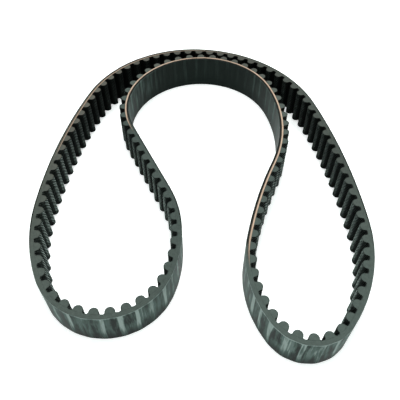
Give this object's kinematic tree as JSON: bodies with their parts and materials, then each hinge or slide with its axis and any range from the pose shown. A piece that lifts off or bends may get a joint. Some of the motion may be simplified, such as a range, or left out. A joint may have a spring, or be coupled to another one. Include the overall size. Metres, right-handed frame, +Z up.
{
  "type": "timing belt",
  "caption": "Endless round-tooth timing belt, teeth inside, standing on its edge in a horseshoe loop; its runs flex at knuckle joints.",
  "frame": {"origin": "centre of the belt's footprint, on the surface it stands on", "axes": "+X to the right, +Y from the feet of the legs to the outer arch, +Z up across the belt's width"},
  "size_m": [0.1802, 0.2238, 0.022],
  "materials": {
    "backing_rubber": "matt, ground back with a dusty sheen",
    "tensile_cord": "cut fibre cord, copper tan",
    "tooth_rubber": "cut rubber, matt",
    "woven_facing": "nylon twill, worn smooth"
  },
  "bodies": {
    "run_01": {"backing_01": "backing_rubber", "cords_01": "tensile_cord", "teeth_01": "tooth_rubber", "facing_01": "woven_facing"},
    "run_02": {"backing_02": "backing_rubber", "cords_02": "tensile_cord", "teeth_02": "tooth_rubber", "facing_02": "woven_facing"},
    "run_03": {"backing_03": "backing_rubber", "cords_03": "tensile_cord", "teeth_03": "tooth_rubber", "facing_03": "woven_facing"},
    "run_04": {"backing_04": "backing_rubber", "cords_04": "tensile_cord", "teeth_04": "tooth_rubber", "facing_04": "woven_facing"},
    "run_05": {"backing_05": "backing_rubber", "cords_05": "tensile_cord", "teeth_05": "tooth_rubber", "facing_05": "woven_facing"},
    "run_06": {"backing_06": "backing_rubber", "cords_06": "tensile_cord", "teeth_06": "tooth_rubber", "facing_06": "woven_facing"},
    "run_07": {"backing_07": "backing_rubber", "cords_07": "tensile_cord", "teeth_07": "tooth_rubber", "facing_07": "woven_facing"},
    "run_08": {"backing_08": "backing_rubber", "cords_08": "tensile_cord", "teeth_08": "tooth_rubber", "facing_08": "woven_facing"},
    "run_09": {"backing_09": "backing_rubber", "cords_09": "tensile_cord", "teeth_09": "tooth_rubber", "facing_09": "woven_facing"},
    "run_10": {"backing_10": "backing_rubber", "cords_10": "tensile_cord", "teeth_10": "tooth_rubber", "facing_10": "woven_facing"},
    "run_11": {"backing_11": "backing_rubber", "cords_11": "tensile_cord", "teeth_11": "tooth_rubber", "facing_11": "woven_facing"},
    "run_12": {"backing_12": "backing_rubber", "cords_12": "tensile_cord", "teeth_12": "tooth_rubber", "facing_12": "woven_facing"},
    "run_13": {"backing_13": "backing_rubber", "cords_13": "tensile_cord", "teeth_13": "tooth_rubber", "facing_13": "woven_facing"},
    "run_14": {"backing_14": "backing_rubber", "cords_14": "tensile_cord", "teeth_14": "tooth_rubber", "facing_14": "woven_facing"},
    "run_15": {"backing_15": "backing_rubber", "cords_15": "tensile_cord", "teeth_15": "tooth_rubber", "facing_15": "woven_facing"}
  },
  "joints": [
    {"name": "flex_15_01", "type": "hinge", "parent": "run_15", "child": "run_01", "pos_m": [-0.07182, 0.06219, 0.011], "axis": [0, 0, 1], "range_deg": [-12, 10]},
    {"name": "flex_01_02", "type": "hinge", "parent": "run_01", "child": "run_02", "pos_m": [-0.08879, -0.03204, 0.011], "axis": [0, 0, 1], "range_deg": [-6.47, 7.75]},
    {"name": "flex_02_03", "type": "hinge", "parent": "run_02", "child": "run_03", "pos_m": [-0.07849, -0.07865, 0.011], "axis": [0, 0, 1], "range_deg": [-2.38, 2.85]},
    {"name": "flex_03_04", "type": "hinge", "parent": "run_03", "child": "run_04", "pos_m": [-0.01475, -0.07516, 0.011], "axis": [0, 0, 1], "range_deg": [-0.79, 0.67]},
    {"name": "flex_04_05", "type": "hinge", "parent": "run_04", "child": "run_05", "pos_m": [-0.01766, -0.02042, 0.011], "axis": [0, 0, 1], "range_deg": [-4.53, 3.78]},
    {"name": "flex_05_06", "type": "hinge", "parent": "run_05", "child": "run_06", "pos_m": [-0.04236, 0.02983, 0.011], "axis": [0, 0, 1], "range_deg": [-7.05, 5.88]},
    {"name": "flex_06_07", "type": "hinge", "parent": "run_06", "child": "run_07", "pos_m": [-0.02515, 0.09287, 0.011], "axis": [0, 0, 1], "range_deg": [-11.49, 13.78]},
    {"name": "flex_15_14", "type": "hinge", "parent": "run_15", "child": "run_14", "pos_m": [0.00364, 0.1102, 0.011], "axis": [0, 0, 1], "range_deg": [-0.56, 0.66]},
    {"name": "flex_14_13", "type": "hinge", "parent": "run_14", "child": "run_13", "pos_m": [0.0735, 0.0519, 0.011], "axis": [0, 0, 1], "range_deg": [-10, 12]},
    {"name": "flex_13_12", "type": "hinge", "parent": "run_13", "child": "run_12", "pos_m": [0.08877, -0.04273, 0.011], "axis": [0, 0, 1], "range_deg": [-12.89, 10.75]},
    {"name": "flex_12_11", "type": "hinge", "parent": "run_12", "child": "run_11", "pos_m": [0.06894, -0.10248, 0.011], "axis": [0, 0, 1], "range_deg": [-7.35, 8.81]},
    {"name": "flex_11_10", "type": "hinge", "parent": "run_11", "child": "run_10", "pos_m": [0.03397, -0.10088, 0.011], "axis": [0, 0, 1], "range_deg": [-4.86, 5.82]},
    {"name": "flex_10_09", "type": "hinge", "parent": "run_10", "child": "run_09", "pos_m": [0.02545, -0.05461, 0.011], "axis": [0, 0, 1], "range_deg": [-4.18, 3.49]},
    {"name": "flex_09_08", "type": "hinge", "parent": "run_09", "child": "run_08", "pos_m": [0.0432, -0.00151, 0.011], "axis": [0, 0, 1], "range_deg": [-10.23, 8.53]}
  ],
  "couplings": [
    {"joint": "flex_01_02", "follows": "flex_15_01", "ratio": -0.642},
    {"joint": "flex_02_03", "follows": "flex_15_01", "ratio": -0.233},
    {"joint": "flex_03_04", "follows": "flex_15_01", "ratio": 0.062},
    {"joint": "flex_04_05", "follows": "flex_15_01", "ratio": 0.373},
    {"joint": "flex_05_06", "follows": "flex_15_01", "ratio": 0.583},
    {"joint": "flex_06_07", "follows": "flex_15_01", "ratio": -1.144},
    {"joint": "flex_15_14", "follows": "flex_14_13", "ratio": 0.051},
    {"joint": "flex_13_12", "follows": "flex_14_13", "ratio": -1.07},
    {"joint": "flex_12_11", "follows": "flex_14_13", "ratio": 0.73},
    {"joint": "flex_11_10", "follows": "flex_14_13", "ratio": 0.481},
    {"joint": "flex_10_09", "follows": "flex_14_13", "ratio": -0.344},
    {"joint": "flex_09_08", "follows": "flex_14_13", "ratio": -0.848}
  ]
}
